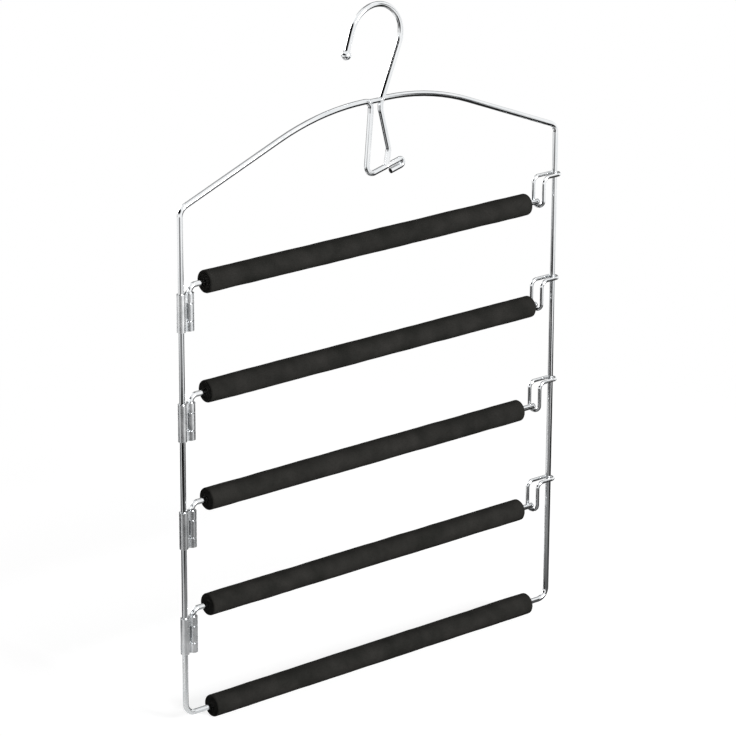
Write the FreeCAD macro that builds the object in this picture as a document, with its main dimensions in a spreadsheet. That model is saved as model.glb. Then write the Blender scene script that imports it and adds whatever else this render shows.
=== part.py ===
"""Trouser hanger of bent steel wire with four swing-out arms over a fixed bottom bar, in millimetres.

The hanger hangs in the XZ plane. The origin is the centre of the top hook's curve, where the closet rod
goes through along Y. +X points to the side where the arms' free ends rest, and -Y is the front.
"""

import FreeCAD, Part
import math
import os
import Sketcher
from FreeCAD import Placement, Rotation, Vector

SIZES = {
    # frame, between wire axes
    "frame_width": 380,
    "shoulder_rise": 53,
    "hook_height": 50.5,
    "shoulder_angle": 21.36,
    "shoulder_bend": 8,
    "foot_bend": 9,
    "frame_wire": 4.5,
    # top hook
    "hook_wire": 4.5,
    "hook_radius": 25,
    "tip_angle": 17,
    "tip_length": 18.5,
    "ball_diameter": 8,
    # neck, loop and peg below the arch
    "neck_shift": 0.2,
    "neck_gap": 5.5,
    "neck_drop": 3.2,
    "neck_bend": 6,
    "neck_length": 9.5,
    "neck_tie": 4,
    "loop_depth": 60.5,
    "loop_left": 9,
    "loop_bend": 6,
    "loop_right": 13.6,
    "loop_waist": 42,
    "leg_bend": 10,
    "leg_foot": 11.4,
    "peg_angle": 14,
    "peg_reach": 27.2,
    "peg_gap": 0.9,
    "peg_return": 13.2,
    # swing arms
    "top_gap": 61,
    "tier_pitch": 88,
    "lowest_gap": 87,
    "arm_wire": 4.5,
    "elbow_bend": 5.2,
    "pivot_offset": 8,
    "tip_clearance": 0.9,
    # hinge clips
    "clip_sheet": 1.2,
    "clip_height": 30,
    "knuckle_height": 7.5,
    "knuckle_slit": 0.8,
    "pivot_clearance": 0.2,
    # tip saddles
    "saddle_wire": 3,
    "saddle_rise": 20,
    "saddle_bend": 5,
    "front_reach": 15.4,
    "back_reach": 19,
    "saddle_clearance": 0.45,
    "rest_gap": 0.3,
    # foam sleeves
    "foam_diameter": 18,
    "foam_start": 14,
    "foam_edge": 0.8,
    "bare_tip_1": 13.2,
    "bare_tip_2": 7.2,
    "bare_tip_3": 17.2,
    "bare_tip_4": 15.2,
    "bottom_foam_start": 25,
    "bottom_foam_end": 22,
    # welds, crimps and pushed-on pieces
    "weld_lip": 0.7,
    "fit": 0.05,
}

TIER_COUNT = 4
TIERS = range(1, TIER_COUNT + 1)
SHORTEST_RUN = 1e-5
TOP_ARM_LEVEL = "-(sizes.hook_height + sizes.shoulder_rise + sizes.top_gap)"
BOTTOM_LEVEL = f"{TOP_ARM_LEVEL} - sizes.tier_pitch * {TIER_COUNT - 1} - sizes.lowest_gap"
PIVOT_X = "-(sizes.frame_width / 2 - sizes.pivot_offset)"
FRONT_LEG = "sizes.frame_width - sizes.pivot_offset - sizes.front_reach"
ARM_REACH = f"{FRONT_LEG} - sizes.saddle_wire / 2 - sizes.tip_clearance"

doc = FreeCAD.newDocument("trouser_hanger")
sheet = doc.addObject("Spreadsheet::Sheet", "sizes")
for row, (alias, value) in enumerate(SIZES.items(), start=1):
    sheet.set(f"A{row}", alias)
    sheet.set(f"B{row}", str(value))
    sheet.setAlias(f"B{row}", alias)
doc.recompute()


def size(alias):
    """A driving dimension, read back from the sheet."""
    return float(sheet.get(alias))


def tier_level(tier):
    """Height of an arm's axis, as an expression: tier 1 is the top one."""
    return f"{TOP_ARM_LEVEL} - sizes.tier_pitch * {tier - 1}"


def bind(item, **expressions):
    """Tie properties to sheet expressions; double underscores stand for the dots of a property path."""
    for path, expression in expressions.items():
        item.setExpression(path.replace("__", "."), expression)
    return item


def bent_edges(corners, bends):
    """Straight runs through the corner points, each inner corner rounded to its bend radius."""
    edges = []
    start = corners[0]
    for before, corner, after, bend in zip(corners, corners[1:], corners[2:], bends):
        inward = (corner - before).normalize()
        outward = (after - corner).normalize()
        half_turn = inward.getAngle(outward) / 2
        setback = bend * math.tan(half_turn)
        bisector = (outward - inward).normalize()
        centre = corner + bisector * (bend / math.cos(half_turn))
        arc_start = corner - inward * setback
        arc_end = corner + outward * setback
        edges += straight_edge(start, arc_start)
        edges.append(Part.Arc(arc_start, centre - bisector * bend, arc_end).toShape())
        start = arc_end
    return edges + straight_edge(start, corners[-1])


def straight_edge(start, end):
    """One straight run, or none where two bends meet."""
    if start.distanceToPoint(end) < SHORTEST_RUN:
        return []
    return [Part.LineSegment(start, end).toShape()]


def wire_rod(name, edges, diameter):
    """A round rod swept along a path of runs and bends; diameter is the alias of its thickness."""
    path = doc.addObject("Part::Feature", f"{name}_path")
    path.Shape = Part.Wire(edges)
    first = edges[0]
    start = first.valueAt(first.FirstParameter)
    heading = first.tangentAt(first.FirstParameter)
    section = doc.addObject("Part::Circle", f"{name}_section")
    bind(section, Radius=f"sizes.{diameter} / 2")
    section.Placement = Placement(start, Rotation(Vector(0, 0, 1), heading))
    rod = doc.addObject("Part::Sweep", name)
    rod.Sections = [section]
    rod.Spine = (path, [f"Edge{number + 1}" for number in range(len(edges))])
    rod.Solid = True
    return rod


def cut(name, base, tool):
    """The base with the tool taken out of it."""
    result = doc.addObject("Part::Cut", name)
    result.Base = base
    result.Tool = tool
    return result


def fuse(name, pieces):
    """Several overlapping solids as one."""
    result = doc.addObject("Part::MultiFuse", name)
    result.Shapes = pieces
    return result


def sub_part(item, label, **placement):
    """Name a finished piece and tie its place to the sheet."""
    item.Label = label
    return bind(item, **placement)


def in_plane(x, z):
    return Vector(x, 0, z)


half_width = size("frame_width") / 2
apex_z = -size("hook_height")
shoulder_z = apex_z - size("shoulder_rise")
bottom_z = sheet.evalExpression(BOTTOM_LEVEL)
neck_half = (size("frame_wire") + size("hook_wire")) / 4 + size("neck_gap") / 2
neck_left = size("neck_shift") - neck_half
neck_right = size("neck_shift") + neck_half
neck_foot = apex_z - size("neck_length")
neck_top = in_plane(neck_right, apex_z - size("neck_drop"))
shank_lean = -math.atan2(neck_top.z, neck_top.x) - math.acos(size("hook_radius") / neck_top.Length)
shank_top = in_plane(math.cos(shank_lean), -math.sin(shank_lean)) * size("hook_radius")
peg_rise = math.radians(size("peg_angle"))
peg_heading = in_plane(math.cos(peg_rise), math.sin(peg_rise))
peg_below = in_plane(math.sin(peg_rise), -math.cos(peg_rise))
loop_corner = in_plane(-size("loop_left"), apex_z - size("loop_depth"))


def peg_point(x):
    """Point on the axis of the peg, the loop's bottom run that rises to the right."""
    return loop_corner + peg_heading * ((x - loop_corner.x) / peg_heading.x)


def hook():
    """Top hook: tip, curve over the rod, slanting shank, then the loop's right leg down to the peg."""
    radius = size("hook_radius")
    tip_rise = math.radians(size("tip_angle"))
    curve_start = in_plane(-math.cos(tip_rise), math.sin(tip_rise)) * radius
    tip_heading = in_plane(math.sin(tip_rise), math.cos(tip_rise))
    tip_end = curve_start - tip_heading * size("tip_length")
    neck_base = in_plane(neck_right, neck_foot)
    waist = in_plane(size("loop_right"), apex_z - size("loop_waist"))
    foot = peg_point(size("leg_foot"))
    edges = straight_edge(tip_end, curve_start)
    edges.append(Part.Arc(curve_start, in_plane(0, radius), shank_top).toShape())
    edges += bent_edges([shank_top, neck_top, neck_base, waist, foot], [size("leg_bend")] * 3)
    rod = wire_rod("hook_rod", edges, "hook_wire")

    peg_space = doc.addObject("Part::Cylinder", "peg_space")
    bind(peg_space, Radius="sizes.frame_wire / 2 + sizes.fit", Height="2 * sizes.peg_reach")
    peg_space.Placement = Placement(loop_corner, Rotation(Vector(0, 0, 1), peg_heading))
    wire = sub_part(cut("hook", rod, peg_space), "hook_wire")

    ball = doc.addObject("Part::Sphere", "ball")
    bind(ball, Radius="sizes.ball_diameter / 2")
    socket = doc.addObject("Part::Cylinder", "ball_socket")
    bind(socket, Radius="sizes.hook_wire / 2 + sizes.fit", Height="sizes.ball_diameter")
    socket.Placement = Placement(Vector(), Rotation(Vector(0, 0, 1), tip_heading))
    tip_ball = sub_part(cut("tip_ball", ball, socket), "hook_tip_ball")
    tip_ball.Placement = Placement(tip_end, Rotation())
    return [wire, tip_ball]


def frame(hook_wire):
    """One bent wire: folded peg, loop, left neck, arch, both sides and the bottom, back to the neck.

    Each half of the arch is as round as the room between the neck's bend and the straight shoulder allows.
    A short tie, welded in a third of the way round the neck's bend, joins the bend to the hook's shank.
    """
    fold = size("frame_wire") + size("peg_gap")
    peg_end = peg_point(size("peg_reach"))
    fold_end = peg_end + peg_below * fold
    slope = math.radians(size("shoulder_angle"))
    knee = half_width - size("shoulder_rise") / math.tan(slope)
    arch = (knee - neck_half - size("neck_bend")) / math.tan(slope / 2)
    shank_x = neck_right + size("neck_drop") * math.tan(shank_lean)
    corners = [
        fold_end - peg_heading * size("peg_return"),
        fold_end,
        peg_end,
        loop_corner,
        in_plane(neck_left, neck_foot),
        in_plane(neck_left, apex_z),
        in_plane(-knee, apex_z),
        in_plane(-half_width, shoulder_z),
        in_plane(-half_width, bottom_z),
        in_plane(half_width, bottom_z),
        in_plane(half_width, shoulder_z),
        in_plane(knee, apex_z),
        in_plane(shank_x + size("weld_lip"), apex_z),
    ]
    bends = [fold / 2, fold / 2, size("loop_bend"), size("leg_bend"), size("neck_bend"), arch]
    bends += [size("shoulder_bend"), size("foot_bend"), size("foot_bend"), size("shoulder_bend"), arch]
    rod = wire_rod("frame_rod", bent_edges(corners, bends), "frame_wire")
    turn = math.radians(90) / 3
    tie_drop = size("neck_bend") * (1 - math.cos(turn))
    tie_start = in_plane(neck_left - size("neck_bend") * (1 - math.sin(turn)), apex_z - tie_drop)
    tie_end = in_plane(shank_x - tie_drop * math.tan(shank_lean) - size("weld_lip"), tie_start.z)
    tie = wire_rod("neck_tie", straight_edge(tie_start, tie_end), "neck_tie")
    return sub_part(cut("frame", fuse("frame_blank", [rod, tie]), hook_wire), "frame_wire")


def swing_arm(tier):
    """Arm wire: pivot leg standing in the hinge clip, elbow, and a straight run to the bare tip."""
    tip = sheet.evalExpression(ARM_REACH)
    leg = size("elbow_bend") + size("rest_gap") + size("clip_height")
    edges = bent_edges([in_plane(0, -leg), in_plane(0, 0), in_plane(tip, 0)], [size("elbow_bend")])
    rod = wire_rod(f"arm_{tier}", edges, "arm_wire")
    return sub_part(
        rod, f"swing_arm_{tier}", Placement__Base__x=PIVOT_X, Placement__Base__z=tier_level(tier)
    )


def hinge_clip(tier):
    """Stamped clip crimped on the frame's side wire, with three knuckles round the arm's pivot leg."""
    top = "-(sizes.elbow_bend + sizes.rest_gap)"
    base = f"{top} - sizes.clip_height"
    frame_bore = "sizes.frame_wire / 2 + sizes.fit"
    pivot_bore = "sizes.arm_wire / 2 + sizes.pivot_clearance"
    past_barrel = f"({pivot_bore} + sizes.clip_sheet * 2)"

    def post(name, radius, x):
        cylinder = doc.addObject("Part::Cylinder", f"{name}_{tier}")
        return bind(
            cylinder,
            Radius=radius,
            Height="sizes.clip_height",
            Placement__Base__x=x,
            Placement__Base__z=base,
        )

    def slit(name, z):
        box = doc.addObject("Part::Box", f"{name}_{tier}")
        return bind(
            box,
            Length=f"2 * {past_barrel}",
            Width=f"2 * {past_barrel}",
            Height="sizes.knuckle_slit",
            Placement__Base__x=f"-({pivot_bore} + sizes.clip_sheet / 2)",
            Placement__Base__y=f"-{past_barrel}",
            Placement__Base__z=z,
        )

    web = doc.addObject("Part::Box", f"clip_web_{tier}")
    bind(
        web,
        Length="sizes.pivot_offset",
        Width="sizes.clip_sheet * 2",
        Height="sizes.clip_height",
        Placement__Base__x="-sizes.pivot_offset",
        Placement__Base__y="-sizes.clip_sheet",
        Placement__Base__z=base,
    )
    sleeve = post("clip_sleeve", f"{frame_bore} + sizes.clip_sheet", "-sizes.pivot_offset")
    barrel = post("clip_barrel", f"{pivot_bore} + sizes.clip_sheet", "0")
    spaces = [
        post("clip_frame_bore", frame_bore, "-sizes.pivot_offset"),
        post("clip_pivot_bore", pivot_bore, "0"),
        slit("upper_slit", f"{top} - sizes.knuckle_height - sizes.knuckle_slit"),
        slit("lower_slit", f"{base} + sizes.knuckle_height"),
    ]
    stamping = fuse(f"clip_blank_{tier}", [sleeve, web, barrel])
    clip = cut(f"clip_{tier}", stamping, fuse(f"clip_spaces_{tier}", spaces))
    return sub_part(
        clip, f"hinge_clip_{tier}", Placement__Base__x=PIVOT_X, Placement__Base__z=tier_level(tier)
    )


def tip_saddle(tier):
    """Thin wire looped round the frame's side wire, reaching in and hanging down under an arm's tip.

    The front leg stands nearer the side wire than the back leg, so the arm swings out past it.
    """
    rod_radius = size("saddle_wire") / 2
    hug = size("frame_wire") / 2 + size("fit")
    spread = max(size("arm_wire") / 2 + size("saddle_clearance"), hug) + rod_radius
    loop_x = hug + rod_radius
    rise = size("saddle_rise")
    seat = -(size("arm_wire") / 2 + size("rest_gap") + rod_radius)
    middle = Vector(-(size("front_reach") + size("back_reach")) / 2, 0, seat)
    halves = []
    for side, reach, y in (("front", "front_reach", -spread), ("back", "back_reach", spread)):
        leg = Vector(-size(reach), y, seat)
        corners = [
            Vector(loop_x, 0, rise),
            Vector(loop_x, y, rise),
            Vector(leg.x, y, rise),
            leg,
            middle,
        ]
        bends = [spread, size("saddle_bend"), leg.distanceToPoint(middle)]
        halves.append(wire_rod(f"saddle_{side}_{tier}", bent_edges(corners, bends), "saddle_wire"))
    saddle = fuse(f"saddle_{tier}", halves)
    return sub_part(
        saddle,
        f"tip_saddle_{tier}",
        Placement__Base__x="sizes.frame_width / 2",
        Placement__Base__z=tier_level(tier),
    )


def foam_sleeve(label, wire, length, x, z):
    """Foam tube pushed on a straight run of wire, with softly rounded end rims."""
    body = doc.addObject("PartDesign::Body", f"{label}_body")
    ring = body.newObject("Sketcher::SketchObject", f"{label}_ring")
    across = [plane for plane in body.Origin.OriginFeatures if plane.Role == "YZ_Plane"]
    ring.AttachmentSupport = (across[0], [""])
    ring.MapMode = "FlatFace"
    diameters = ("sizes.foam_diameter", f"sizes.{wire} + 2 * sizes.fit")
    for number, (alias, expression) in enumerate(zip(("foam_diameter", wire), diameters)):
        ring.addGeometry(Part.Circle(Vector(), Vector(0, 0, 1), size(alias) / 2))
        ring.addConstraint(Sketcher.Constraint("Coincident", number, 3, -1, 1))
        constraint = ring.addConstraint(Sketcher.Constraint("Diameter", number, size(alias)))
        ring.setExpression(f"Constraints[{constraint}]", expression)
    tube = body.newObject("PartDesign::Pad", f"{label}_tube")
    tube.Profile = ring
    bind(tube, Length=length)
    doc.recompute()
    outer = size("foam_diameter") / 2
    rims = [
        f"Edge{number}"
        for number, edge in enumerate(tube.Shape.Edges, start=1)
        if isinstance(edge.Curve, Part.Circle) and math.isclose(edge.Curve.Radius, outer)
    ]
    rounding = body.newObject("PartDesign::Fillet", f"{label}_rims")
    rounding.Base = (tube, rims)
    bind(rounding, Radius="sizes.foam_edge")
    body.Tip = rounding
    return sub_part(body, label, Placement__Base__x=x, Placement__Base__z=z)


pieces = hook()
pieces.append(frame(pieces[0]))
for tier in TIERS:
    pieces.append(hinge_clip(tier))
    pieces.append(swing_arm(tier))
    pieces.append(tip_saddle(tier))
    pieces.append(
        foam_sleeve(
            f"foam_sleeve_{tier}",
            wire="arm_wire",
            length=f"{ARM_REACH} - sizes.foam_start - sizes.bare_tip_{tier}",
            x=f"{PIVOT_X} + sizes.foam_start",
            z=tier_level(tier),
        )
    )
pieces.append(
    foam_sleeve(
        "bottom_foam_sleeve",
        wire="frame_wire",
        length="sizes.frame_width - sizes.bottom_foam_start - sizes.bottom_foam_end",
        x="-sizes.frame_width / 2 + sizes.bottom_foam_start",
        z=BOTTOM_LEVEL,
    )
)
doc.recompute()

for item in doc.Objects:
    if "Invalid" in item.State or "Error" in item.State:
        raise RuntimeError(f"{item.Label} did not build: {item.State}")
for piece in pieces:
    if piece.Shape.isNull() or not piece.Shape.isValid() or not piece.Shape.Solids:
        raise RuntimeError(f"{piece.Label} has no valid solid")

os.makedirs("parts", exist_ok=True)
for piece in pieces:
    piece.Shape.exportStep(f"parts/{piece.Label}.step")
    print(piece.Label, len(piece.Shape.Solids), round(piece.Shape.Volume, 1))
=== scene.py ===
import math

import bmesh
import bpy
from mathutils import Matrix, Vector


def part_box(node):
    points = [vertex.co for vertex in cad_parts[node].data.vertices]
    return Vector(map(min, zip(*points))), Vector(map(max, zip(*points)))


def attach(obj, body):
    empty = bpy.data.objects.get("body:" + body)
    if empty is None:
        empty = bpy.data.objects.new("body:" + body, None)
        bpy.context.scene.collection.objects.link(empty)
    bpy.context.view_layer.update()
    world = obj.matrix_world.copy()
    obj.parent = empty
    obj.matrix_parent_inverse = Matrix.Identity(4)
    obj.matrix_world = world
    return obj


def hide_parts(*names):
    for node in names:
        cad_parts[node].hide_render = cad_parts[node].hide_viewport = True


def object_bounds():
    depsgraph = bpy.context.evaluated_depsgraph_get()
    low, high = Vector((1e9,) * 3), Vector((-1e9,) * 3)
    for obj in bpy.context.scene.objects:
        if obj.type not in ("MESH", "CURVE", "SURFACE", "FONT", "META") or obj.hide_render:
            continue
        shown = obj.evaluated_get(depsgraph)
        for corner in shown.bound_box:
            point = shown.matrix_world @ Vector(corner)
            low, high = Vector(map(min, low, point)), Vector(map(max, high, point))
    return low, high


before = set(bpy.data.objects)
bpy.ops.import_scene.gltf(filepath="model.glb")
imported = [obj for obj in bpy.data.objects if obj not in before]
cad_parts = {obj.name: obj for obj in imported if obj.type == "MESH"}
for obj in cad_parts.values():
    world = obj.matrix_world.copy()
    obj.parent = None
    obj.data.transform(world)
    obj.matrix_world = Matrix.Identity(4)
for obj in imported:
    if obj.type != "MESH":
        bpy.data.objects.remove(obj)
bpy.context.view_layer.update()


# The frame is one length of drawn steel wire: a folded peg and a loop below the neck, an arch, two
# straight sides and a bottom run. It is bent cold, welded at the neck and then chrome plated, and the
# hook wire with its ball is the second bent wire, plated in the same bath.
def linear(code):
    """The linear RGBA of an sRGB hex colour."""
    channels = [int(code[i:i + 2], 16) / 255 for i in (1, 3, 5)]
    return [c / 12.92 if c <= 0.04045 else ((c + 0.055) / 1.055) ** 2.4 for c in channels] + [1.0]


def empty_tree(owner):
    """The node tree of a new material or world, with nothing in it."""
    owner.use_nodes = True
    owner.node_tree.nodes.clear()
    return owner.node_tree


def add(tree, kind, inputs=None, **settings):
    """Adds a node; each input is a value or the output socket that it is linked to."""
    made = tree.nodes.new(kind)
    for key, value in settings.items():
        setattr(made, key, value)
    for key, value in (inputs or {}).items():
        if isinstance(value, bpy.types.NodeSocket):
            tree.links.new(value, made.inputs[key])
        else:
            made.inputs[key].default_value = value
    return made


# Bright chrome over nickel on drawn wire: a mirror with a faint blue cast, a little haze from handling
# and a shallow orange peel left by the drawn surface under the plate.
NOISE_LOW = 0.3  # a noise lies mostly between these two values
NOISE_HIGH = 0.7
HAZE_PATCH = 0.022
MIRROR_TINT = "#E6E9EB"
HAZE_TINT = "#F5F6F7"
MIRROR_ROUGHNESS = 0.05
HAZE_ROUGHNESS = 0.11
ORANGE_PEEL = 0.0035
PEEL_DEPTH = 0.000008
wire_chrome = bpy.data.materials.new("Chrome plate on drawn steel wire")
tree = empty_tree(wire_chrome)
place = add(tree, "ShaderNodeTexCoord").outputs["Object"]
haze = add(tree, "ShaderNodeTexNoise", {"Vector": place, "Scale": 1 / HAZE_PATCH, "Detail": 4.0})
tint = add(tree, "ShaderNodeValToRGB", {"Fac": haze.outputs["Fac"]})
tint.color_ramp.elements[0].position = NOISE_LOW
tint.color_ramp.elements[0].color = linear(MIRROR_TINT)
tint.color_ramp.elements[1].position = NOISE_HIGH
tint.color_ramp.elements[1].color = linear(HAZE_TINT)
gloss = add(tree, "ShaderNodeMapRange", {
    "Value": haze.outputs["Fac"],
    "From Min": NOISE_LOW,
    "From Max": NOISE_HIGH,
    "To Min": MIRROR_ROUGHNESS,
    "To Max": HAZE_ROUGHNESS,
})
peel = add(tree, "ShaderNodeTexNoise", {"Vector": place, "Scale": 1 / ORANGE_PEEL, "Detail": 2.0})
relief = add(tree, "ShaderNodeBump", {
    "Height": peel.outputs["Fac"],
    "Distance": PEEL_DEPTH,
    "Strength": 1.0,
})
mirror = add(tree, "ShaderNodeBsdfPrincipled", {
    "Base Color": tint.outputs["Color"],
    "Metallic": 1.0,
    "Roughness": gloss.outputs["Result"],
    "Normal": relief.outputs["Normal"],
})
add(tree, "ShaderNodeOutputMaterial", {"Surface": mirror.outputs["BSDF"]})


def finish_node(name, material):
    """Gives a CAD node its finish."""
    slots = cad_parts[name].data.materials
    slots.clear()
    slots.append(material)


finish_node("frame_wire", wire_chrome)
finish_node("hook_wire", wire_chrome)
finish_node("hook_tip_ball", wire_chrome)


# Each swing arm is the same wire with a pivot leg bent down at its left end, and each tip saddle is a
# hairpin of thinner wire welded round the right side wire. All eight get the same plating.
TIERS = (1, 2, 3, 4)
for tier in TIERS:
    finish_node(f"swing_arm_{tier}", wire_chrome)
    finish_node(f"tip_saddle_{tier}", wire_chrome)


# Where two wires meet they are welded before plating: the neck's tie on the frame's bend and the shank,
# the arch's end on the shank, the hook's foot on the peg, and each saddle round the side wire. Each weld
# leaves a small, faintly rippled bead of steel in the crook between the wires.

# Where the wires run, in metres, as the part's source has them.
WIRE_RADIUS = 0.00225
TIE_RADIUS = 0.0020
TIE_LEVEL = -0.0513
ARCH_LEVEL = -0.0505
NECK_BEND = 0.006
BEND_CENTRE = Vector((-0.0108, 0.0, -0.0565))
SHANK_FOOT = Vector((0.0052, 0.0, -0.0537))
SHANK_LEAN = math.radians(22.07)
PEG_RISE = math.radians(14)
PEG_SPOT = Vector((0.0114, 0.0, -0.1059))
LEG_WAIST = Vector((0.0136, 0.0, -0.0925))

SEAM_POINTS = 40
turns = [2 * math.pi * i / SEAM_POINTS for i in range(SEAM_POINTS)]


def depth_at(y):
    """How far the round of a wire stands out from its middle, at a distance y from its middle plane."""
    return math.sqrt(max(0.0, WIRE_RADIUS ** 2 - y ** 2))


def shank_seam(radius, level, side):
    """The line on which a level wire meets the leaning shank, on its left (-1) or right (1)."""
    seam = []
    for turn in turns:
        y = radius * math.cos(turn)
        z = level + radius * math.sin(turn)
        out = (z - SHANK_FOOT.z) * math.sin(SHANK_LEAN) + side * depth_at(y)
        seam.append(Vector((SHANK_FOOT.x + out / math.cos(SHANK_LEAN), y, z)))
    return seam


bend_seam = []
for turn in turns:
    y = TIE_RADIUS * math.cos(turn)
    z = TIE_LEVEL + TIE_RADIUS * math.sin(turn)
    reach = math.sqrt((NECK_BEND + depth_at(y)) ** 2 - (z - BEND_CENTRE.z) ** 2)
    bend_seam.append(Vector((BEND_CENTRE.x + reach, y, z)))

foot_seam = []
leg_up = (LEG_WAIST - PEG_SPOT).normalized()
leg_across = Vector((leg_up.z, 0.0, -leg_up.x))
off_peg = Vector((-math.sin(PEG_RISE), 0.0, math.cos(PEG_RISE)))
for turn in turns:
    spot = leg_across * WIRE_RADIUS * math.cos(turn) + Vector((0.0, WIRE_RADIUS * math.sin(turn), 0.0))
    climb = (depth_at(spot.y) - spot.dot(off_peg)) / leg_up.dot(off_peg)
    foot_seam.append(PEG_SPOT + spot + leg_up * climb)

seams = [
    (bend_seam, True),
    (shank_seam(TIE_RADIUS, TIE_LEVEL, -1), True),
    (shank_seam(WIRE_RADIUS, ARCH_LEVEL, 1), True),
    (foot_seam, True),
]
SIDE_WIRE_X = 0.190
SADDLE_RADIUS = 0.0015
SADDLE_SEAM_OFF = 0.00105
SADDLE_SEAM_OUT = 0.00035
SADDLE_SEAM_ANGLE = 62
SADDLE_SEAM_STEPS = 12
crook = WIRE_RADIUS + SADDLE_SEAM_OUT
steps = [2 * i / SADDLE_SEAM_STEPS - 1 for i in range(SADDLE_SEAM_STEPS + 1)]
sweep = [math.radians(SADDLE_SEAM_ANGLE * step) for step in steps]
for tier in TIERS:
    loop_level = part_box(f"tip_saddle_{tier}")[1].z - SADDLE_RADIUS
    for z in (loop_level + SADDLE_SEAM_OFF, loop_level - SADDLE_SEAM_OFF):
        seam = [Vector((SIDE_WIRE_X + crook * math.cos(t), crook * math.sin(t), z)) for t in sweep]
        seams.append((seam, False))

BEAD_RADIUS = 0.0005
BEAD_RIPPLE = 0.0018
BEAD_STEP = 0.0002
BEAD_THIN = 0.93
BEAD_THICK = 1.03
BEAD_SIDES = 12
weld_bead = bpy.data.node_groups.new("Weld bead", "GeometryNodeTree")
for name, kind in (("Seam", "NodeSocketGeometry"), ("Bead radius", "NodeSocketFloat"),
                   ("Ripple", "NodeSocketFloat"), ("Plate", "NodeSocketMaterial")):
    weld_bead.interface.new_socket(name, in_out="INPUT", socket_type=kind)
weld_bead.interface.new_socket("Bead", in_out="OUTPUT", socket_type="NodeSocketGeometry")
given = add(weld_bead, "NodeGroupInput").outputs
line = add(weld_bead, "GeometryNodeMeshToCurve", {"Mesh": given["Seam"]})
even = add(weld_bead, "GeometryNodeResampleCurve",
           {"Curve": line.outputs["Curve"], "Length": BEAD_STEP}, mode="LENGTH")
travel = add(weld_bead, "GeometryNodeSplineParameter").outputs["Length"]
waves = add(weld_bead, "ShaderNodeMath", {0: travel, 1: given["Ripple"]}, operation="DIVIDE").outputs[0]
phase = add(weld_bead, "ShaderNodeMath", {0: waves, 1: 2 * math.pi}, operation="MULTIPLY").outputs[0]
wave = add(weld_bead, "ShaderNodeMath", {0: phase}, operation="SINE").outputs[0]
girth = add(weld_bead, "ShaderNodeMapRange", {
    "Value": wave,
    "From Min": -1.0,
    "From Max": 1.0,
    "To Min": BEAD_THIN,
    "To Max": BEAD_THICK,
}).outputs["Result"]
profile = add(weld_bead, "GeometryNodeCurvePrimitiveCircle",
              {"Resolution": BEAD_SIDES, "Radius": given["Bead radius"]})
bead = add(weld_bead, "GeometryNodeCurveToMesh", {
    "Curve": even.outputs["Curve"],
    "Scale": girth,
    "Profile Curve": profile.outputs["Curve"],
    "Fill Caps": True,
})
rounded = add(weld_bead, "GeometryNodeSetShadeSmooth", {"Geometry": bead.outputs["Mesh"]})
real = add(weld_bead, "GeometryNodeRealizeInstances", {"Geometry": rounded.outputs["Geometry"]})
plated = add(weld_bead, "GeometryNodeSetMaterial",
             {"Geometry": real.outputs["Geometry"], "Material": given["Plate"]})
add(weld_bead, "NodeGroupOutput", {"Bead": plated.outputs["Geometry"]})


def grow(name, start, group, values):
    """Runs a node group on a mesh, with its inputs set, and keeps what it makes as a plain piece."""
    maker = bpy.data.objects.new(name + "_maker", start)
    bpy.context.collection.objects.link(maker)
    modifier = maker.modifiers.new(group.name, "NODES")
    modifier.node_group = group
    for socket in group.interface.items_tree:
        if socket.in_out == "INPUT" and socket.name in values:
            modifier[socket.identifier] = values[socket.name]
    bpy.context.view_layer.update()
    made = maker.evaluated_get(bpy.context.evaluated_depsgraph_get())
    mesh = bpy.data.meshes.new_from_object(made)
    mesh.name = name
    bpy.data.objects.remove(maker)
    piece = bpy.data.objects.new(name, mesh)
    bpy.context.collection.objects.link(piece)
    return piece


points = []
edges = []
for seam, closed in seams:
    first = len(points)
    points += seam
    edges += [(first + i, first + i + 1) for i in range(len(seam) - 1)]
    if closed:
        edges.append((len(points) - 1, first))
seam_lines = bpy.data.meshes.new("weld_seams")
seam_lines.from_pydata(points, edges, [])
bead_values = {"Bead radius": BEAD_RADIUS, "Ripple": BEAD_RIPPLE, "Plate": wire_chrome}
welds = grow("weld_beads", seam_lines, weld_bead, bead_values)
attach(welds, "frame")


# Each hinge clip is one strip of steel sheet, pressed round the left side wire and closed to a double
# web. Its two leaves are rolled the opposite way round the arm's pivot leg: the front leaf makes the top
# and bottom knuckles and the back leaf the middle one. It is crimped on the wire and plated.
SHEET = 0.0012
CRIMP_GAP = 0.00005
PIVOT_GAP = 0.0002
KNUCKLE = 0.0075
SLIT = 0.0008
LEAF_FOLD = 0.0007
FOLD_STEPS = (0.0, 0.33, 0.67, 1.0)
FOLD_SHARE = 0.9
ROLL_STEP = math.radians(10)
ROLL_MOUTH = math.radians(38)
SHEARED_EDGE = 0.00018
SHEARED_ANGLE = math.radians(50)
MERGE_REACH = 0.00002
FRONT_LEAF = -1
BACK_LEAF = 1
TOP_KNUCKLE = 0
MIDDLE_KNUCKLE = 2
BOTTOM_KNUCKLE = 4

# Chrome on pressed sheet: the same plate over steel dulled by the press and covered in its marks, so it
# looks satin, and its reflections wander more than on wire.
PRESS_MARK = 0.009
MARK_DEPTH = 0.00003
MARK_TINT = "#E2E5E7"
SHEET_TINT = "#F4F5F6"
SATIN_FINE = 0.25
SATIN_COARSE = 0.32
sheet_chrome = bpy.data.materials.new("Chrome plate on pressed steel sheet")
tree = empty_tree(sheet_chrome)
place = add(tree, "ShaderNodeTexCoord").outputs["Object"]
marks = add(tree, "ShaderNodeTexNoise", {"Vector": place, "Scale": 1 / PRESS_MARK, "Detail": 1.5})
tint = add(tree, "ShaderNodeValToRGB", {"Fac": marks.outputs["Fac"]})
tint.color_ramp.elements[0].position = NOISE_LOW
tint.color_ramp.elements[0].color = linear(MARK_TINT)
tint.color_ramp.elements[1].position = NOISE_HIGH
tint.color_ramp.elements[1].color = linear(SHEET_TINT)
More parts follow.
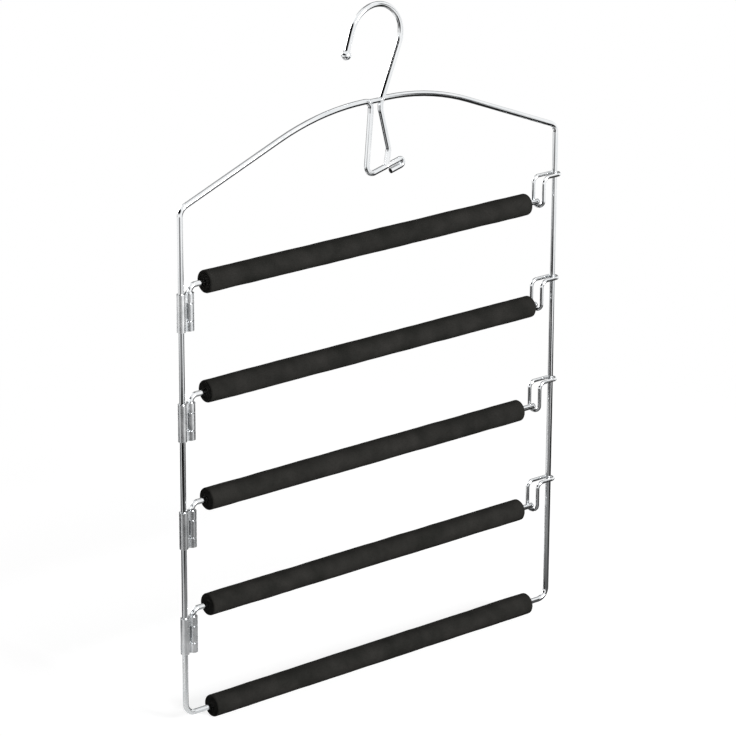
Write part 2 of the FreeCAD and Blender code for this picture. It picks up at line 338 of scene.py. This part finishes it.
gloss = add(tree, "ShaderNodeMapRange", {
    "Value": marks.outputs["Fac"],
    "From Min": NOISE_LOW,
    "From Max": NOISE_HIGH,
    "To Min": SATIN_FINE,
    "To Max": SATIN_COARSE,
})
relief = add(tree, "ShaderNodeBump", {
    "Height": marks.outputs["Fac"],
    "Distance": MARK_DEPTH,
    "Strength": 1.0,
})
satin = add(tree, "ShaderNodeBsdfPrincipled", {
    "Base Color": tint.outputs["Color"],
    "Metallic": 1.0,
    "Roughness": gloss.outputs["Result"],
    "Normal": relief.outputs["Normal"],
})
add(tree, "ShaderNodeOutputMaterial", {"Surface": satin.outputs["BSDF"]})


def roll(centre, radius, start, end):
    """Points along an arc of the sheet's middle line, seen from above."""
    count = max(2, round(abs(end - start) / ROLL_STEP))
    angles = [start + (end - start) * i / count for i in range(count + 1)]
    return [centre + radius * Vector((math.cos(t), math.sin(t))) for t in angles]


def fold(path, at, size):
    """Rounds the corner of the middle line at one point."""
    corner = path[at]
    back = path[at - 1] - corner
    onward = path[at + 1] - corner
    before = corner + back.normalized() * min(size, back.length * FOLD_SHARE)
    after = corner + onward.normalized() * min(size, onward.length * FOLD_SHARE)
    bend = [before.lerp(corner, t).lerp(corner.lerp(after, t), t) for t in FOLD_STEPS]
    return path[:at] + bend + path[at + 1:]


def leaf(side, wire, pivot):
    """Half the strip: from the back of the wrap to the web, then on round the pivot leg."""
    wrap_radius = WIRE_RADIUS + CRIMP_GAP + SHEET / 2
    barrel_radius = WIRE_RADIUS + PIVOT_GAP + SHEET / 2
    half_web = SHEET / 2
    mouth = math.asin(half_web / wrap_radius)
    neck = math.asin(half_web / barrel_radius)
    wrap = roll(wire, wrap_radius, math.pi, 2 * math.pi - mouth)
    barrel = roll(pivot, barrel_radius, math.pi + neck, 3 * math.pi - ROLL_MOUTH)
    path = fold(wrap + barrel, len(wrap), LEAF_FOLD)
    path = fold(path, len(wrap) - 1, LEAF_FOLD)
    rolled_from = len(wrap) + len(FOLD_STEPS)
    return [Vector((p.x, p.y * -side)) for p in path], rolled_from


for tier in TIERS:
    low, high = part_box(f"hinge_clip_{tier}")
    wire = Vector((low.x + WIRE_RADIUS + CRIMP_GAP + SHEET, 0.0))
    pivot = Vector((high.x - WIRE_RADIUS - PIVOT_GAP - SHEET, 0.0))
    levels = [
        high.z,
        high.z - KNUCKLE,
        high.z - KNUCKLE - SLIT,
        low.z + KNUCKLE + SLIT,
        low.z + KNUCKLE,
        low.z,
    ]
    shape = bmesh.new()
    for side, knuckles in ((FRONT_LEAF, (TOP_KNUCKLE, BOTTOM_KNUCKLE)), (BACK_LEAF, (MIDDLE_KNUCKLE,))):
        path, rolled_from = leaf(side, wire, pivot)
        rows = [[shape.verts.new((p.x, p.y, z)) for p in path] for z in levels]
        for band in range(len(levels) - 1):
            last = len(path) if band in knuckles else rolled_from
            for i in range(last - 1):
                corners = [rows[band][i], rows[band][i + 1], rows[band + 1][i + 1], rows[band + 1][i]]
                shape.faces.new(corners if side == BACK_LEAF else corners[::-1])
    loose = [v for v in shape.verts if not v.link_faces]
    bmesh.ops.delete(shape, geom=loose, context="VERTS")
    bmesh.ops.remove_doubles(shape, verts=shape.verts, dist=MERGE_REACH)
    bmesh.ops.recalc_face_normals(shape, faces=shape.faces)
    mesh = bpy.data.meshes.new(f"pressed_clip_{tier}")
    shape.to_mesh(mesh)
    shape.free()
    clip = bpy.data.objects.new(f"pressed_clip_{tier}", mesh)
    bpy.context.collection.objects.link(clip)
    wall = clip.modifiers.new("Sheet thickness", "SOLIDIFY")
    wall.thickness = SHEET
    wall.offset = 0.0
    edge = clip.modifiers.new("Sheared edge", "BEVEL")
    edge.width = SHEARED_EDGE
    edge.segments = 2
    edge.limit_method = "ANGLE"
    edge.angle_limit = SHEARED_ANGLE
    edge.harden_normals = True
    mesh.materials.append(sheet_chrome)
    for face in mesh.polygons:
        face.use_smooth = True
    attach(clip, "frame")
    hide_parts(f"hinge_clip_{tier}")


# Each bar carries a tube of black closed-cell foam that keeps trousers from sliding off. It is extruded,
# cut to length with a knife and pushed on over the wire, so its ends are plain and its skin is uneven.
RIM_STEPS = 4
SKIN_STEP = 0.0009
TUBE_SIDES = 44
SWELL = 0.030
foam_tube = bpy.data.node_groups.new("Foam tube", "GeometryNodeTree")
for name, kind in (("Length", "NodeSocketFloat"), ("Outer radius", "NodeSocketFloat"),
                   ("Bore radius", "NodeSocketFloat"), ("Rim radius", "NodeSocketFloat"),
                   ("Unevenness", "NodeSocketFloat"), ("Middle", "NodeSocketVector"),
                   ("Seed", "NodeSocketFloat"), ("Skin", "NodeSocketMaterial")):
    foam_tube.interface.new_socket(name, in_out="INPUT", socket_type=kind)
foam_tube.interface.new_socket("Tube", in_out="OUTPUT", socket_type="NodeSocketGeometry")
given = add(foam_tube, "NodeGroupInput").outputs
radii = {0: given["Outer radius"], 1: given["Bore radius"]}
wall = add(foam_tube, "ShaderNodeMath", radii, operation="SUBTRACT").outputs[0]
middle_sum = add(foam_tube, "ShaderNodeMath", radii, operation="ADD").outputs[0]
middle_radius = add(foam_tube, "ShaderNodeMath", {0: middle_sum, 1: 0.5}, operation="MULTIPLY").outputs[0]
section = add(foam_tube, "GeometryNodeCurvePrimitiveQuadrilateral",
              {"Width": wall, "Height": given["Length"]})
rounded = add(foam_tube, "GeometryNodeFilletCurve", {
    "Curve": section.outputs["Curve"],
    "Radius": given["Rim radius"],
    "Limit Radius": True,
    "Count": RIM_STEPS,
}, mode="POLY")
stepped = add(foam_tube, "GeometryNodeResampleCurve",
              {"Curve": rounded.outputs["Curve"], "Length": SKIN_STEP}, mode="LENGTH")
ring = add(foam_tube, "GeometryNodeCurvePrimitiveCircle",
           {"Resolution": TUBE_SIDES, "Radius": middle_radius})
tube = add(foam_tube, "GeometryNodeCurveToMesh",
           {"Curve": ring.outputs["Curve"], "Profile Curve": stepped.outputs["Curve"]})
here = add(foam_tube, "GeometryNodeInputPosition").outputs[0]
parted = add(foam_tube, "ShaderNodeSeparateXYZ", {0: here}).outputs
across = add(foam_tube, "ShaderNodeCombineXYZ", {"X": parted["X"], "Y": parted["Y"]}).outputs[0]
from_axis = add(foam_tube, "ShaderNodeVectorMath", {0: across}, operation="LENGTH").outputs["Value"]
skin = add(foam_tube, "ShaderNodeMapRange", {
    "Value": from_axis,
    "From Min": given["Bore radius"],
    "From Max": given["Outer radius"],
}).outputs["Result"]
swell = add(foam_tube, "ShaderNodeTexNoise", {
    "Vector": here,
    "W": given["Seed"],
    "Scale": 1 / SWELL,
    "Detail": 2.0,
}, noise_dimensions="4D").outputs["Fac"]
centred = add(foam_tube, "ShaderNodeMath", {0: swell, 1: 0.5}, operation="SUBTRACT").outputs[0]
faded = add(foam_tube, "ShaderNodeMath", {0: centred, 1: skin}, operation="MULTIPLY").outputs[0]
height = add(foam_tube, "ShaderNodeMath", {0: faded, 1: given["Unevenness"]},
             operation="MULTIPLY").outputs[0]
outward = add(foam_tube, "GeometryNodeInputNormal").outputs["Normal"]
offset = add(foam_tube, "ShaderNodeVectorMath", {0: outward, "Scale": height},
             operation="SCALE").outputs["Vector"]
uneven = add(foam_tube, "GeometryNodeSetPosition", {"Geometry": tube.outputs["Mesh"], "Offset": offset})
laid = add(foam_tube, "GeometryNodeTransform", {
    "Geometry": uneven.outputs["Geometry"],
    "Translation": given["Middle"],
    "Rotation": (0.0, math.pi / 2, 0.0),
})
smooth = add(foam_tube, "GeometryNodeSetShadeSmooth", {"Geometry": laid.outputs["Geometry"]})
real = add(foam_tube, "GeometryNodeRealizeInstances", {"Geometry": smooth.outputs["Geometry"]})
skinned = add(foam_tube, "GeometryNodeSetMaterial",
              {"Geometry": real.outputs["Geometry"], "Material": given["Skin"]})
add(foam_tube, "NodeGroupOutput", {"Tube": skinned.outputs["Geometry"]})

# Black nitrile foam, extruded: a dull closed skin, brownish black, darker and paler in patches, pricked
# all over with burst cells, each with painted shade darkening its colour towards the floor of the pit. Real
# cells are about 0.3 mm; they are drawn 1.1 mm wide so that they show.
FOAM_DARK = "#272725"
FOAM_PALE = "#353432"
FOAM_PATCH = 0.016
FOAM_CELL = 0.0011
CELL_DEPTH = 0.00025
CELL_STRENGTH = 0.3
PIT_FLOOR = 0.15
PIT_RIM = 0.6
# Painted shade in the pits: the colour darkens to PIT_SHADE_DARKEST towards each cell's floor.
PIT_SHADE_CORE = 0.1
PIT_SHADE_EDGE = 0.5
PIT_SHADE_DARKEST = 0.78
SKIN_RUBBED = 0.78
SKIN_DULL = 0.95
SKIN_SHINE = 0.02
foam_skin = bpy.data.materials.new("Black closed-cell foam tube")
tree = empty_tree(foam_skin)
place = add(tree, "ShaderNodeTexCoord").outputs["Object"]
patches = add(tree, "ShaderNodeTexNoise", {"Vector": place, "Scale": 1 / FOAM_PATCH, "Detail": 5.0})
black = add(tree, "ShaderNodeValToRGB", {"Fac": patches.outputs["Fac"]})
black.color_ramp.elements[0].position = NOISE_LOW
black.color_ramp.elements[0].color = linear(FOAM_DARK)
black.color_ramp.elements[1].position = NOISE_HIGH
black.color_ramp.elements[1].color = linear(FOAM_PALE)
cells = add(tree, "ShaderNodeTexVoronoi", {"Vector": place, "Scale": 1 / FOAM_CELL})
pits = add(tree, "ShaderNodeMapRange", {
    "Value": cells.outputs["Distance"],
    "From Min": PIT_FLOOR,
    "From Max": PIT_RIM,
})
# Painted shade: darkens the foam's colour towards the floor of each burst cell, where the pit is deepest.
shade = add(tree, "ShaderNodeMapRange", {
    "Value": cells.outputs["Distance"],
    "From Min": PIT_SHADE_CORE,
    "From Max": PIT_SHADE_EDGE,
    "To Min": PIT_SHADE_DARKEST,
    "To Max": 1.0,
})
pit_shaded_colour = add(tree, "ShaderNodeVectorMath",
               {0: black.outputs["Color"], "Scale": shade.outputs["Result"]}, operation="SCALE")
relief = add(tree, "ShaderNodeBump", {
    "Height": pits.outputs["Result"],
    "Distance": CELL_DEPTH,
    "Strength": CELL_STRENGTH,
})
dull = add(tree, "ShaderNodeMapRange", {
    "Value": patches.outputs["Fac"],
    "From Min": NOISE_LOW,
    "From Max": NOISE_HIGH,
    "To Min": SKIN_RUBBED,
    "To Max": SKIN_DULL,
})
foam = add(tree, "ShaderNodeBsdfPrincipled", {
    "Base Color": pit_shaded_colour.outputs["Vector"],
    "Roughness": dull.outputs["Result"],
    "Specular IOR Level": SKIN_SHINE,
    "Normal": relief.outputs["Normal"],
})
add(tree, "ShaderNodeOutputMaterial", {"Surface": foam.outputs["BSDF"]})

FOAM_GAP = 0.00005
FOAM_RIM = 0.0012
FOAM_UNEVEN = 0.0009
SEED_STEP = 3.7
sleeves = [(f"foam_sleeve_{tier}", f"arm_{tier}", f"foam_tube_{tier}") for tier in TIERS]
sleeves.append(("bottom_foam_sleeve", "frame", "foam_tube_bottom"))
for seed, (solid, body, name) in enumerate(sleeves):
    low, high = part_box(solid)
    foam_values = {
        "Length": high.x - low.x,
        "Outer radius": (high.z - low.z) / 2,
        "Bore radius": WIRE_RADIUS + FOAM_GAP,
        "Rim radius": FOAM_RIM,
        "Unevenness": FOAM_UNEVEN,
        "Middle": (low + high) / 2,
        "Seed": SEED_STEP * seed,
        "Skin": foam_skin,
    }
    sleeve = grow(name, bpy.data.meshes.new(name + "_maker"), foam_tube, foam_values)
    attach(sleeve, body)
    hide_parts(solid)


# The hanger stands on its bottom foam on a plain white studio floor, with white all round it. Three
# softboxes light it, the strongest from the front, and the floor keeps its shadow.
low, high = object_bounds()
FLOOR_REACH = 6.0
floor_mesh = bpy.data.meshes.new("studio_floor")
floor_mesh.from_pydata([
    (-FLOOR_REACH, -FLOOR_REACH, low.z),
    (FLOOR_REACH, -FLOOR_REACH, low.z),
    (FLOOR_REACH, FLOOR_REACH, low.z),
    (-FLOOR_REACH, FLOOR_REACH, low.z),
], [], [(0, 1, 2, 3)])
floor = bpy.data.objects.new("studio_floor", floor_mesh)
bpy.context.collection.objects.link(floor)


def seen_rays(tree):
    """1 for rays from the camera and those that metal and glass send on, 0 for rays of soft light."""
    ray = add(tree, "ShaderNodeLightPath").outputs
    seen = add(tree, "ShaderNodeMath", {0: ray["Is Camera Ray"], 1: ray["Is Glossy Ray"]},
               operation="MAXIMUM").outputs[0]
    return add(tree, "ShaderNodeMath", {0: seen, 1: ray["Is Transmission Ray"]},
               operation="MAXIMUM").outputs[0]


# White paper, matt: far off it glows plain white to the eye, and near the hanger it gives up a share of
# that glow to real light, so that the shadow shows. To soft light it is a mid grey that throws little back.
WHITE = "#FFFFFF"
PAPER_FAR = "#000000"
PAPER_NEAR = "#AAAAAA"
PAPER_BOUNCE = "#585858"
SHADOW_NEAR = 0.25
SHADOW_FAR = 0.80
SHADED_SHARE = 0.17
paper = bpy.data.materials.new("White studio paper")
tree = empty_tree(paper)
seen = seen_rays(tree)
spot = add(tree, "ShaderNodeTexCoord").outputs["Object"]
away = add(tree, "ShaderNodeVectorMath", {0: spot, 1: (0.0, 0.0, low.z)}, operation="DISTANCE")
near = add(tree, "ShaderNodeMapRange", {
    "Value": away.outputs["Value"],
    "From Min": SHADOW_NEAR,
    "From Max": SHADOW_FAR,
    "To Min": 1.0,
    "To Max": 0.0,
}, interpolation_type="SMOOTHSTEP").outputs["Result"]
glow_lost = add(tree, "ShaderNodeMath", {0: near, 1: SHADED_SHARE}, operation="MULTIPLY").outputs[0]
glow_left = add(tree, "ShaderNodeMath", {0: 1.0, 1: glow_lost}, operation="SUBTRACT").outputs[0]
strength = add(tree, "ShaderNodeMath", {0: glow_left, 1: seen}, operation="MULTIPLY").outputs[0]
glow = add(tree, "ShaderNodeEmission", {"Color": linear(WHITE), "Strength": strength})
shown = add(tree, "ShaderNodeMix", {
    "Factor": near,
    "A": linear(PAPER_FAR),
    "B": linear(PAPER_NEAR),
}, data_type="RGBA")
tone = add(tree, "ShaderNodeMix", {
    "Factor": seen,
    "A": linear(PAPER_BOUNCE),
    "B": shown.outputs["Result"],
}, data_type="RGBA")
matt = add(tree, "ShaderNodeBsdfDiffuse", {"Color": tone.outputs["Result"]})
lit = add(tree, "ShaderNodeAddShader", {0: matt.outputs[0], 1: glow.outputs[0]})
add(tree, "ShaderNodeOutputMaterial", {"Surface": lit.outputs[0]})
floor_mesh.materials.append(paper)

AMBIENT = 0.02
world = bpy.data.worlds.new("White studio")
tree = empty_tree(world)
level = add(tree, "ShaderNodeMapRange", {"Value": seen_rays(tree), "To Min": AMBIENT, "To Max": 1.0})
sky = add(tree, "ShaderNodeBackground", {"Color": linear(WHITE), "Strength": level.outputs["Result"]})
add(tree, "ShaderNodeOutputWorld", {"Surface": sky.outputs[0]})
bpy.context.scene.world = world

middle = (low + high) / 2
for name, place, side, power in (
    ("front_softbox", (0.8, -4.1, 1.15), 1.4, 225.0),
    ("top_softbox", (0.9, 0.5, 3.4), 2.4, 4.0),
    ("back_softbox", (0.1, 4.1, -0.1), 2.4, 140.0),
):
    lamp = bpy.data.lights.new(name, "AREA")
    lamp.shape = "SQUARE"
    lamp.size = side
    lamp.energy = power
    softbox = bpy.data.objects.new(name, lamp)
    softbox.location = place
    softbox.rotation_euler = (middle - Vector(place)).to_track_quat("-Z", "Y").to_euler()
    bpy.context.collection.objects.link(softbox)


# Grey and black felt is laid, stood and hung round the hanger, and only the bright metal sees it, so
# that the wires show the dark streaks they take from a real room. Each sheet fades towards its edges.
FELT_LIFT = 0.002
FELT_SOLID = 0.5
felts = []
for name, colour, layer, (x, y), along, across in (
    ("left_grey_felt", "#808080", 1, (-1.59, -0.92), (1.61, 1.05), (-0.43, 0.66)),
    ("middle_grey_felt", "#808080", 2, (-0.35, -0.59), (0.679, 0.734), (-0.33, 0.31)),
    ("left_black_mat", "#040404", 3, (-0.63, -0.41), (-0.45, 0.48), (-0.17, -0.16)),
    ("middle_black_mat", "#1C1C1C", 4, (-0.23, -0.45), (-0.29, 0.27), (0.12, 0.13)),
    ("under_black_mat", "#0C0C0C", 1, (0.03, -0.15), (0.05, -0.60), (0.16, 0.0)),
    ("back_left_mat", "#0C0C0C", 1, (-0.36, 0.64), (-0.17, 0.70), (0.14, 0.04)),
    ("left_edge_mat", "#0C0C0C", 2, (-0.65, 0.42), (-0.50, 0.46), (0.20, 0.24)),
    ("right_black_felt", "#0C0C0C", 1, (0.50, -0.16), (0.42, -0.75), (0.45, 0.27)),
    ("front_right_strip", "#0C0C0C", 2, (0.90, -1.01), (0.48, -0.51), (0.06, 0.05)),
    ("back_black_mat", "#0C0C0C", 1, (0.32, 0.68), (0.25, 0.54), (-0.18, 0.08)),
    ("far_back_mat", "#303030", 1, (0.0, 1.90), (1.30, 0.0), (0.0, 0.75)),
):
    felts.append((name, colour, (x, y, low.z + layer * FELT_LIFT), (*along, 0.0), (*across, 0.0)))
felts += [
    ("front_right_felt", "#0C0C0C", (1.41, -1.43, 0.02), (0.14, 0.14, 0.0), (0.0, 0.0, 0.90)),
    ("overhead_grey_felt", "#8A8A8A", (0.30, 0.70, 1.60), (0.55, 0.0, 0.0), (0.0, 0.75, 0.0)),
    ("back_grey_felt", "#6C6C6C", (1.30, 1.90, 1.10), (1.70, -0.90, 0.0), (-0.20, -0.38, 1.60)),
    ("left_black_felt", "#080808", (-1.90, 0.10, 0.78), (0.0, -3.40, 0.0), (0.0, 0.0, 0.98)),
]
corners = ((-1, -1), (1, -1), (1, 1), (-1, 1))
for name, colour, centre, along, across in felts:
    felt = bpy.data.materials.new(name)
    tree = empty_tree(felt)
    spot = add(tree, "ShaderNodeTexCoord").outputs["UV"]
    fade = add(tree, "ShaderNodeTexGradient", {"Vector": spot}, gradient_type="SPHERICAL")
    cover = add(tree, "ShaderNodeMapRange", {"Value": fade.outputs["Fac"], "From Max": FELT_SOLID},
                interpolation_type="SMOOTHSTEP")
    clear = add(tree, "ShaderNodeBsdfTransparent")
    dark = add(tree, "ShaderNodeEmission", {"Color": linear(colour), "Strength": 1.0})
    patch = add(tree, "ShaderNodeMixShader",
                {0: cover.outputs["Result"], 1: clear.outputs[0], 2: dark.outputs[0]})
    add(tree, "ShaderNodeOutputMaterial", {"Surface": patch.outputs[0]})
    sheet = bpy.data.meshes.new(name)
    sheet.from_pydata([Vector(centre) + Vector(along) * u + Vector(across) * v for u, v in corners],
                      [], [(0, 1, 2, 3)])
    spread = sheet.uv_layers.new(name="UVMap")
    for corner, uv in zip(spread.data, corners):
        corner.uv = uv
    sheet.materials.append(felt)
    flag = bpy.data.objects.new(name, sheet)
    bpy.context.collection.objects.link(flag)
    flag.visible_camera = False
    flag.visible_diffuse = False
    flag.visible_transmission = False
    flag.visible_shadow = False


# The camera stands to the left in front of the hanger and looks down on it with a long lens. Its angle,
# aim and lens are fitted to the wires and bars in the photograph, with no shift.
VIEW_YAW = math.radians(39.818)
VIEW_PITCH = math.radians(19.114)
VIEW_ROLL = math.radians(0.285)
VIEW_DISTANCE = 3.0
AIM = Vector((0.0014, 0.00909, -0.27277))
SENSOR_WIDTH = 36.0
LENS_LENGTH = 184.77
FARTHEST_SEEN = 50.0
ahead = Vector((
    math.sin(VIEW_YAW) * math.cos(VIEW_PITCH),
    math.cos(VIEW_YAW) * math.cos(VIEW_PITCH),
    -math.sin(VIEW_PITCH),
))
level_right = Vector((math.cos(VIEW_YAW), -math.sin(VIEW_YAW), 0.0))
level_up = level_right.cross(ahead)
right = level_right * math.cos(VIEW_ROLL) + level_up * math.sin(VIEW_ROLL)
up = level_up * math.cos(VIEW_ROLL) - level_right * math.sin(VIEW_ROLL)
lens = bpy.data.cameras.new("photo_camera")
lens.sensor_width = SENSOR_WIDTH
lens.lens = LENS_LENGTH
lens.clip_end = FARTHEST_SEEN
camera = bpy.data.objects.new("photo_camera", lens)
facing = Matrix((right, up, -ahead)).transposed()
camera.matrix_world = Matrix.Translation(AIM - ahead * VIEW_DISTANCE) @ facing.to_4x4()
bpy.context.collection.objects.link(camera)
bpy.context.scene.camera = camera
bpy.context.scene.view_settings.view_transform = "Standard"
